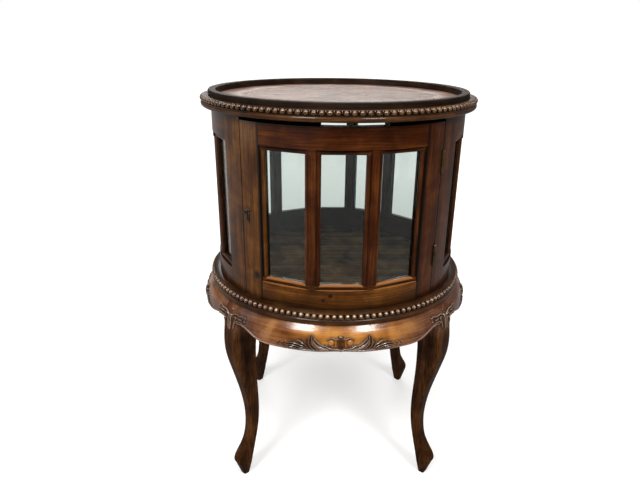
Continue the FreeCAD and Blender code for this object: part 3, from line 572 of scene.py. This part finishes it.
def base_ring():
    """Moulding round the cabinet's floor; gives the height of its beads' middle."""
    edge = BASE_BEAD_CIRCLE
    groove = 3.2 * MM
    mid = FLOOR_TOP - BASE_BEAD_RADIUS
    foot = mid - BASE_BEAD_RADIUS
    band_top = FLOOR_UNDERSIDE + 8.6 * MM
    band = edge + 2.4 * MM
    profile = [(BODY_RADIUS, FLOOR_UNDERSIDE), (band - 0.6 * MM, FLOOR_UNDERSIDE),
               (band, FLOOR_UNDERSIDE + 0.6 * MM), (band, band_top - 0.8 * MM),
               (band - 0.8 * MM, band_top), (edge + 0.4 * MM, foot)]
    cove_top = (edge - 0.2 * MM, FLOOR_TOP - 0.5 * MM)
    profile += arc_points(profile[-1], (edge - groove, mid), cove_top, 6)
    profile += [(edge - 0.9 * MM, FLOOR_TOP), (BODY_RADIUS, FLOOR_TOP)]
    bm = bmesh.new()
    lathe(bm, profile)
    ring = piece("base_ring", bm, ring_wood)
    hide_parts("base_moulding")
    return mid


def bead_ring(name, count, radius, height, up, proud, material, darts=False):
    """Separate beads cut round a moulding; darts puts a small one between each two."""
    bm = bmesh.new()
    between_beads = bmesh.new()
    pitch = 2 * math.pi / count
    rise = Vector((0, 0, 1))
    for n in range(count):
        angle = n * pitch
        size = 1.0 + random.uniform(-0.03, 0.03)
        out = round_place(1, angle, 0)
        dome(bm, round_place(radius, angle, height), out, rise, BEAD_HALF_WIDTH * size,
             up * size, proud)
        if darts:
            between = angle + pitch / 2
            out = round_place(1, between, 0)
            dome(between_beads, round_place(radius, between, height + up * 0.45), out, rise,
                 BEAD_HALF_WIDTH * 0.24, up * 0.55, proud * 0.85, 3, 6)
    piece(name, bm, material, sharp=60.0)
    if darts:
        piece(name + "_darts", between_beads, dart_wood, sharp=60.0)
    else:
        between_beads.free()


top_mid = top_ring()
base_mid = base_ring()
bead_ring("top_beads", 131, TOP_BEAD_CIRCLE - BEAD_SEAT, top_mid, TOP_BEAD_RADIUS, 4.9 * MM,
          top_bead_wood, True)
bead_ring("base_beads", 138, BASE_BEAD_CIRCLE - BEAD_SEAT, base_mid, BASE_BEAD_RADIUS, 5.0 * MM,
          bead_wood)


def head_stops():
    """Curved strips under the top board that close the gap over the door at both ends."""
    inside, outside = 209.0 * MM, 215.2 * MM
    foot, soft = TOP_UNDERSIDE - 9.0 * MM, 0.8 * MM
    profile = [(inside, TOP_UNDERSIDE), (inside, foot + soft), (inside + soft, foot),
               (outside - soft, foot), (outside, foot + soft), (outside, TOP_UNDERSIDE)]
    steps = 24
    bm = bmesh.new()
    for first, last in ((-44.6, -9.8), (20.4, 44.6)):
        loops = []
        for n in range(steps + 1):
            angle = math.radians(first + (last - first) * n / steps)
            loops.append([bm.verts.new(round_place(r, angle, z)) for r, z in profile])
        strip(bm, loops)
    piece("door_head_stops", bm, rim_wood)


head_stops()


# ---------------------------------------------------------------- carving
# the aprons' outside: (radius, height) at the neck, the swell and the hem
NECK = (253.0 * MM, 389.0 * MM)
SWELL = (265.2 * MM, 364.0 * MM)
HEM = (262.0 * MM, 340.0 * MM)
NECK_LINE_TOP = 249.0 * MM           # radius under the cabinet's floor
APRON_TOP = FLOOR_UNDERSIDE / MM     # in mm, as the carving's heights are
APRON_INNER = 238.0 * MM
LEG_BLOCK_HALF = 22.0 * MM
SWELL_LINE = [NECK] + arc_points(NECK, SWELL, HEM, 24)
DEGREE = 4.68                        # mm of the swell for one degree


def swell_radius(height):
    """Outside radius of the aprons and knees at a height."""
    if height >= NECK[1]:
        share = (height - NECK[1]) / (FLOOR_UNDERSIDE - NECK[1])
        return NECK[0] + (NECK_LINE_TOP - NECK[0]) * min(1.0, share)
    for (r0, z0), (r1, z1) in zip(SWELL_LINE, SWELL_LINE[1:]):
        if z1 <= height <= z0:
            return r0 + (r1 - r0) * (z0 - height) / (z0 - z1)
    return SWELL_LINE[-1][0]


def knee_radius(height):
    """The same, but the legs go on below the square tops."""
    leg_front, leg_height = 267.6 * MM, 345.0 * MM
    if height < SWELL[1]:
        share = max(0.0, (height - leg_height) / (SWELL[1] - leg_height))
        return leg_front + (SWELL[0] - leg_front) * share
    return swell_radius(height)


class Field:
    """Carving ground: (degrees from the middle, height in mm) to points of the object."""

    def __init__(self, middle, radius_at):
        self.middle = middle
        self.radius_at = radius_at

    def normal(self, degrees, z):
        step = 0.5
        rise = self.radius_at((z + step) * MM) - self.radius_at((z - step) * MM)
        slope = rise / (2 * step * MM)
        lean = Vector((1.0, -slope)).normalized()
        angle = math.radians(self.middle + degrees)
        return Vector((math.sin(angle) * lean.x, -math.cos(angle) * lean.x, lean.y))

    def point(self, degrees, z, lift):
        angle = math.radians(self.middle + degrees)
        ground = round_place(self.radius_at(z * MM), angle, z * MM)
        return ground + self.normal(degrees, z) * lift * MM


def catmull_rom(p, q, r, s, t):
    """Smooth value between q and r, with p before them and s after."""
    return 0.5 * (2 * q + (r - p) * t + (2 * p - 5 * q + 4 * r - s) * t * t
                  + (3 * q - p - 3 * r + s) * t ** 3)


def smooth_line(points, steps):
    """Smooth line through (degrees, height, width, proud) points."""
    line = []
    padded = [points[0]] + list(points) + [points[-1]]
    for a, b, c, d in zip(padded, padded[1:], padded[2:], padded[3:]):
        for n in range(steps):
            line.append([catmull_rom(*values, n / steps) for values in zip(a, b, c, d)])
    line.append(list(points[-1]))
    return line


RIB_SIDES = 7
RIB_SUNK = 0.7                       # mm of a rib that lie inside the ground


def ridge(bm, field, points, mirror=1, steps=5):
    """Rounded rib that follows a line on the ground and tapers at its ends."""
    line = smooth_line(points, steps)
    high = highlight_layer(bm)
    rows = []
    for n, (degrees, z, width, proud) in enumerate(line):
        before = line[max(n - 1, 0)]
        after = line[min(n + 1, len(line) - 1)]
        run = Vector(((after[0] - before[0]) * DEGREE, after[1] - before[1]))
        run = run.normalized() if run.length > 1e-6 else Vector((1, 0))
        aside = Vector((-run.y, run.x))
        row = []
        for k in range(RIB_SIDES):
            turn = math.pi * k / (RIB_SIDES - 1)
            off = aside * (math.cos(turn) * width / 2)
            lift = math.sin(turn) * proud - RIB_SUNK
            place = field.point(mirror * (degrees + off.x / DEGREE), z + off.y, lift)
            vert = bm.verts.new(place)
            # painted highlight along the top of the rib
            vert[high] = math.sin(turn) ** 2
            row.append(vert)
        rows.append(row)
    strip(bm, rows)


def pearl(bm, field, degrees, z, radius, mirror=1, proud=None, flat=1.0):
    """Round bead on the ground, sizes in mm; flat is its height over its width."""
    degrees = mirror * degrees
    centre = field.point(degrees, z, -0.3)
    out = field.normal(degrees, z)
    up = Vector((0, 0, 1))
    up = (up - out * up.dot(out)).normalized()
    proud = (proud or radius * 0.95) * MM
    dome(bm, centre, out, up, radius * MM, radius * flat * MM, proud, 4, 12)


# depths of an apron in mm at places in degrees: from its middle, and from the leg's middle
MIDDLE_DEPTHS = ((0, 42), (8, 44.5))
FRONT_DEPTHS = ((26, 46), (18.4, 46.8), (14.4, 43), (10.4, 34.5), (7.4, 28.5), (3.5, 25.5),
                (0, 24.5))
SIDE_DEPTHS = ((26, 44.5), (18.4, 40.5), (14.4, 36.5), (10.4, 31.5), (7.4, 28), (3.5, 25.5),
               (0, 24.5))


def hem_height(from_middle, half, depths):
    """Lower edge of an apron: a smooth line through the same places as the solid's."""
    mirrored_place, mirrored_depth = MIDDLE_DEPTHS[-1]
    places = [(-mirrored_place, mirrored_depth), *MIDDLE_DEPTHS]
    places += [(half - a, d) for a, d in depths]
    places += [(half + 6, depths[-1][1])]      # it runs level behind the leg
    a = abs(from_middle)
    for (_, d0), (a1, d1), (a2, d2), (_, d3) in zip(places, places[1:], places[2:], places[3:]):
        if a <= a2:
            return APRON_TOP - catmull_rom(d0, d1, d2, d3, (a - a1) / (a2 - a1))
    return APRON_TOP - depths[-1][1]


def apron_body(name, middle, half, depths, material):
    """The bombe rail between two legs, with a clean face under its carving."""
    columns, rows = 120, 16
    hem_edge = HEM[0]
    loops = []
    for n in range(columns + 1):
        share = 2 * n / columns - 1

        def turned(radius):
            return share * (half - math.degrees(math.asin(LEG_BLOCK_HALF / radius)))

        low = hem_height(turned(hem_edge), half, depths)
        loop = []
        for k in range(rows + 1):
            z = (APRON_TOP + (low - APRON_TOP) * k / rows) * MM
            radius = swell_radius(z)
            loop.append((radius, turned(radius), z))
        inner_turn = turned(APRON_INNER)
        under = math.asin(APRON_INNER / hem_edge * math.sin(math.radians(inner_turn)))
        inner_low = hem_height(math.degrees(under), half, depths)
        loop.append((APRON_INNER, inner_turn, inner_low * MM))
        loop.append((APRON_INNER, inner_turn, APRON_TOP * MM))
        loops.append(loop)
    bm = bmesh.new()
    strip(bm, [[bm.verts.new(round_place(r, math.radians(middle + a), z)) for r, a, z in loop]
               for loop in loops])
    body = piece("apron_body_" + name, bm, material)
    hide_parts("apron_" + name)


def curl(bm, field, degrees, z, radius, start, end, width, proud, side):
    """Rib along part of a circle; start and end are turns in degrees, 90 is up."""
    count = max(3, int(abs(end - start) / 30))
    line = []
    for n in range(count + 1):
        turn = math.radians(start + (end - start) * n / count)
        fade = 0.55 + 0.45 * math.sin(math.pi * (0.12 + 0.76 * n / count))
        line.append((degrees + radius * math.cos(turn) / DEGREE, z + radius * math.sin(turn),
                     width * fade, proud * fade))
    ridge(bm, field, line, side, 3)


def apron_carving(name, middle, half, depths):
    """Shell, volutes, leaves, fingers and pearls over a moulded hem; degrees, mm."""
    field = Field(middle, swell_radius)

    def hem_bead(bm, first, last):
        count = 2 * math.ceil(abs(last - first) / 2)
        width, proud = 4.2, 2.4
        places = [first + (last - first) * n / count for n in range(count + 1)]
        ridge(bm, field, [(a, hem_height(a, half, depths) + width / 2, width, proud)
                          for a in places], steps=2)

    carved = 18.0                    # degrees either side that have the darker carving
    stop = half - 6.5                # where the knee's carving takes over
    bm = bmesh.new()
    for end in (-stop, stop):
        hem_bead(bm, end, math.copysign(carved, end))
    piece("hem_" + name, bm, hem_wood, sharp=50.0)
    # volutes, left in the colour of the rail
    bm = bmesh.new()
    for side in (-1, 1):
        pearl(bm, field, 3.5, 368.4, 5.9, side, 3.3)
    piece("volutes_" + name, bm, apron_wood, sharp=50.0)
    # scooped shell between them, near-black as painted shade in its hollow
    bm = bmesh.new()
    for k in range(-3, 4):
        low = 1.9 - 0.2 * abs(k)
        ridge(bm, field, [(k * 0.34, 357.6, 1.2, low - 0.6), (k * 0.47, 364.0, 1.7, low),
                          (k * 0.44, 373.4 - 0.6 * abs(k), 1.5, low)], steps=4)
    piece("shell_" + name, bm, shell_shade_wood, sharp=50.0)
    bm = bmesh.new()
    hem_bead(bm, -carved, carved)
    pearl(bm, field, 0.0, 377.0, 5.6, proud=3.1, flat=0.58)
    pearl(bm, field, 0.0, 353.6, 2.6, proud=2.3)
    for side in (-1, 1):
        # arch from the knob over the volute, and the volute's rim
        ridge(bm, field, [(0.9, 375.6, 2.4, 3.4), (1.8, 373.8, 2.6, 3.2), (2.5, 374.9, 2.4, 3.0),
                          (3.6, 376.2, 2.2, 2.8), (4.7, 374.4, 2.0, 2.4),
                          (5.2, 371.0, 1.4, 1.8)], side)
        curl(bm, field, 3.5, 368.4, 7.0, 185, 330, 1.6, 2.2, side)
        ridge(bm, field, [(0.6, 355.2, 2.4, 2.2), (2.2, 356.6, 3.2, 2.8), (4.2, 358.6, 3.6, 3.0),
                          (5.5, 362.6, 2.6, 2.6), (5.7, 366.5, 1.4, 1.8)], side)
        # leaf from under the volute up to its curled peak
        ridge(bm, field, [(4.4, 355.4, 3.6, 2.2), (6.8, 357.2, 6.4, 3.0), (8.6, 361.0, 6.8, 3.4),
                          (9.9, 367.0, 5.4, 3.4), (10.4, 372.0, 3.4, 3.0)], side)
        ridge(bm, field, [(5.4, 361.0, 1.6, 2.4), (6.9, 363.8, 2.4, 3.8), (8.4, 368.2, 2.6, 4.4),
                          (9.6, 372.6, 2.4, 4.4), (10.2, 375.6, 1.4, 3.4)], side)
        ridge(bm, field, [(8.2, 355.6, 2.0, 3.0), (9.6, 360.4, 2.8, 4.6), (10.4, 366.6, 2.8, 5.2),
                          (10.65, 372.6, 2.8, 5.2), (10.6, 377.6, 2.4, 4.2),
                          (10.3, 379.2, 1.2, 2.4)], side)
        ridge(bm, field, [(9.2, 353.8, 2.0, 2.8), (10.9, 358.6, 2.8, 4.4), (11.6, 365.0, 2.8, 5.0),
                          (11.7, 371.6, 2.8, 5.0), (11.4, 376.8, 2.4, 4.0),
                          (10.9, 378.8, 1.2, 2.2)], side)
        ridge(bm, field, [(10.6, 353.4, 2.0, 2.4), (12.0, 357.2, 2.6, 3.8), (12.9, 362.8, 2.8, 4.2),
                          (13.1, 368.4, 2.4, 4.0), (12.7, 372.4, 1.4, 2.6)], side)
        # fingers that run out along the hem
        fingers = (((12.2, 358.6), (13.6, 363.6), (15.0, 367.4), (16.6, 368.2)),
                   ((12.9, 355.8), (15.0, 360.6), (17.4, 363.0), (19.9, 361.8)),
                   ((13.8, 353.8), (16.2, 357.4), (18.4, 358.6), (20.6, 357.0)),
                   ((15.4, 352.2), (17.6, 354.0), (19.6, 354.6), (21.8, 353.8)))
        for n, line in enumerate(fingers):
            wide = (2.0, 3.3, 3.1, 2.2 - 0.2 * n)
            high = (2.0, 4.0 - 0.3 * n, 4.2 - 0.3 * n, 3.0 - 0.3 * n)
            ridge(bm, field, [(a, z, w, h) for (a, z), w, h in zip(line, wide, high)], side)
        for a, z, size in ((14.9, 371.4, 1.5), (17.9, 367.4, 1.7), (21.9, 359.9, 2.9),
                           (23.8, 358.8, 2.8)):
            pearl(bm, field, a, z, size, side)
    piece("carving_" + name, bm, carved_wood, sharp=50.0)


def knee_carving(name, angle):
    """Tongue over the leg between two scrolls with a pearl at each end."""
    field = Field(angle, knee_radius)
    bm = bmesh.new()
    for k in (-1, 0, 1):
        ridge(bm, field, [(k * 0.4, 377.0, 2.2, 2.4), (k * 0.85, 369.0, 4.2, 4.4),
                          (k * 0.95, 359.0, 4.6, 4.8), (k * 0.55, 350.0, 3.6, 3.6),
                          (0.0, 345.8 - (k == 0), 1.2, 1.0)])
    pearl(bm, field, 0.0, 383.5, 2.7)
    for side in (-1, 1):
        # upper scroll, outwards from the tongue
        ridge(bm, field, [(0.7, 371.0, 2.0, 3.0), (1.7, 377.0, 3.0, 4.4), (3.6, 379.6, 3.2, 4.6),
                          (5.8, 379.2, 3.2, 4.4), (7.6, 380.8, 3.2, 4.0), (8.8, 379.4, 2.6, 3.4),
                          (8.7, 375.8, 1.6, 2.4)], side)
        pearl(bm, field, 8.4, 372.4, 3.1, side)
        # leaf under the scroll, its curled rib, and the lower scroll back to the leg
        ridge(bm, field, [(4.4, 375.4, 2.2, 2.4), (5.8, 374.2, 4.2, 3.2),
                          (7.2, 374.2, 3.2, 2.8)], side)
        ridge(bm, field, [(7.9, 370.2, 1.6, 2.4), (6.2, 370.0, 2.6, 3.4), (4.4, 368.6, 3.0, 4.0),
                          (3.2, 364.0, 3.2, 4.2), (2.9, 357.6, 3.0, 4.0),
                          (2.2, 350.8, 2.0, 2.4)], side)
        curl(bm, field, 2.7, 371.2, 4.4, 200, -30, 2.2, 3.6, side)
        # edge of the knee that runs into the hem
        ridge(bm, field, [(2.9, 365.6, 2.2, 2.0), (4.6, 365.8, 3.2, 2.8), (6.6, 366.4, 3.8, 2.6),
                          (8.4, 364.6, 4.0, 2.4)], side)
    piece("knee_carving_" + name, bm, carved_wood, sharp=50.0)


LEG_FRONT, LEG_BACK = 48.4, 47.4     # degrees of the legs from the middle of front and back
SIDE_HALF = (180 - LEG_FRONT - LEG_BACK) / 2
SIDE_MIDDLE = LEG_FRONT + SIDE_HALF
for side, at, half, depths in (("front", 0.0, LEG_FRONT, FRONT_DEPTHS),
                               ("back", 180.0, LEG_BACK, FRONT_DEPTHS),
                               ("left", -SIDE_MIDDLE, SIDE_HALF, SIDE_DEPTHS),
                               ("right", SIDE_MIDDLE, SIDE_HALF, SIDE_DEPTHS)):
    apron_body(side, at, half, depths, back_apron_wood if side == "back" else apron_wood)
    apron_carving(side, at, half, depths)
for end, at in (("front_left", -LEG_FRONT), ("front_right", LEG_FRONT),
                ("back_left", LEG_BACK - 180), ("back_right", 180 - LEG_BACK)):
    knee_carving(end, at)


# ---------------------------------------------------------------- floor, light and camera
def studio_sees(s):
    """Two switches: 1 for what the camera sees, also through glass; 1 for what gloss mirrors."""
    path = s.tree.nodes.new("ShaderNodeLightPath").outputs
    straight = s.maths("LESS_THAN", path["Diffuse Depth"], 0.5)
    clear = s.maths("MAXIMUM", path["Is Camera Ray"], path["Is Transmission Ray"])
    return s.times(straight, clear), path["Is Glossy Ray"]


def floor_shade():
    """Pale floor that reads white to the camera and keeps the object's shadow."""
    s = Shade("studio_floor")
    seen, glossy = studio_sees(s)
    x, y = s.parts(s.place())[:2]
    behind = s.spread(y, -0.9, 0.5)
    glow = s.spread(s.length(x, y), 0.5, 2.5, 0.40, 0.95)
    # to gloss only, the floor is painted dark, darkest in front, and glows a little behind and to
    # the left: painted reflections on the table
    dim = s.times(glossy, s.spread(y, -0.9, 0.5, 0.95, 0.70))
    s.surface(Base_Color=s.mix(dim, (0.72, 0.72, 0.71), (0.02, 0.018, 0.016)))
    s.surface(Roughness=0.9, Specular_IOR_Level=0.0, Emission_Color=(1.0, 1.0, 1.0))
    sheen = s.add(s.times(behind, 0.10), s.spread(x, -0.8, -2.0, 0.0, 0.28))
    s.surface(Emission_Strength=s.add(s.times(seen, glow), s.times(glossy, sheen)))
    return s.material


FLOOR_REACH = 14.0
bm = bmesh.new()
bmesh.ops.create_grid(bm, x_segments=1, y_segments=1, size=FLOOR_REACH)
floor_mesh = bpy.data.meshes.new("studio_floor")
bm.to_mesh(floor_mesh)
bm.free()
floor_mesh.materials.append(floor_shade())
studio_floor = bpy.data.objects.new("studio_floor", floor_mesh)
bpy.context.scene.collection.objects.link(studio_floor)


class WorldShade(Shade):
    """The same helper for the world's nodes."""

    def __init__(self, world):
        world.use_nodes = True
        self.tree = world.node_tree
        self.tree.nodes.clear()
        self.shader = self.tree.nodes.new("ShaderNodeBackground")
        end = self.tree.nodes.new("ShaderNodeOutputWorld")
        self.tree.links.new(self.shader.outputs[0], end.inputs[0])


def studio_world():
    """White to the camera, even and dim for light, and a window and skylight for gloss."""
    ambient = 0.30
    world = bpy.data.worlds.new("studio")
    s = WorldShade(world)
    seen, glossy = studio_sees(s)
    x, y, z = s.parts(s.tree.nodes.new("ShaderNodeTexCoord").outputs["Generated"])
    aside = s.maths("ABSOLUTE", x)
    window = s.times(s.spread(aside, 0.22, 0.04), s.spread(z, 0.15, 0.35))
    window = s.times(window, s.spread(y, 0.5, 0.8, 0.0, 0.85))
    skylight = s.times(s.spread(z, 0.80, 0.93), s.spread(y, 0.05, -0.15))
    skylight = s.times(skylight, s.spread(aside, 0.06, 0.28, 0.35, 1.3))
    mirrored = s.add(s.spread(y, -0.25, 0.45, 0.03, 0.18), s.add(window, skylight))
    level = s.add(ambient, s.times(glossy, s.less(mirrored, ambient)))
    level = s.add(level, s.times(seen, 1.0 - ambient))
    s.surface(Color=(1.0, 1.0, 1.0), Strength=level)
    return world


bpy.context.scene.world = studio_world()


def panel(name, at, aim, size, watts):
    """Soft white rectangular lamp that faces a point."""
    lamp = bpy.data.lights.new(name, "AREA")
    lamp.shape = "RECTANGLE"
    lamp.size, lamp.size_y = size
    lamp.energy = watts
    made = bpy.data.objects.new(name, lamp)
    made.location = at
    made.rotation_euler = (Vector(aim) - Vector(at)).to_track_quat("-Z", "Y").to_euler()
    made.visible_camera = False
    bpy.context.scene.collection.objects.link(made)


panel("key_left", (-1.05, -1.75, 2.3), (0, 0, 0.45), (0.7, 0.7), 46)
panel("key_right", (0.95, -1.75, 2.2), (0, 0, 0.4), (0.6, 0.6), 34)
panel("overhead", (0, -0.2, 2.7), (0, 0, 0.5), (1.6, 1.6), 22)
panel("behind", (0, 2.4, 1.9), (0, 0, 0.75), (1.9, 1.0), 26)
panel("side_left", (-2.4, -0.3, 1.0), (0, 0, 0.5), (0.8, 1.6), 3)

FOCAL_PIXELS = 552.64
PICTURE_WIDTH, PICTURE_HEIGHT = 640, 480
AXIS_ROW = 256.43                  # where the optical axis meets the picture
CAMERA_PLACE = (-0.0305, -1.0766, 0.8554)
pitch, roll, yaw = math.radians(22.07), math.radians(-0.619), math.radians(1.352)
ahead = Vector((0, math.cos(pitch), -math.sin(pitch)))
right = Vector((1, 0, 0))
down = ahead.cross(right)
across = math.cos(roll) * right + math.sin(roll) * down
below = -math.sin(roll) * right + math.cos(roll) * down
lens = bpy.data.cameras.new("camera")
lens.sensor_fit = "HORIZONTAL"
lens.lens = FOCAL_PIXELS * lens.sensor_width / PICTURE_WIDTH
lens.shift_y = (AXIS_ROW - PICTURE_HEIGHT / 2) / PICTURE_WIDTH
camera = bpy.data.objects.new("camera", lens)
bpy.context.scene.collection.objects.link(camera)
axes = Matrix((across, -below, -ahead)).transposed().to_4x4()
turn = Matrix.Rotation(-yaw, 4, "Z")
camera.matrix_world = turn @ Matrix.Translation(CAMERA_PLACE) @ axes
bpy.context.scene.camera = camera
bpy.context.scene.view_settings.view_transform = "Standard"
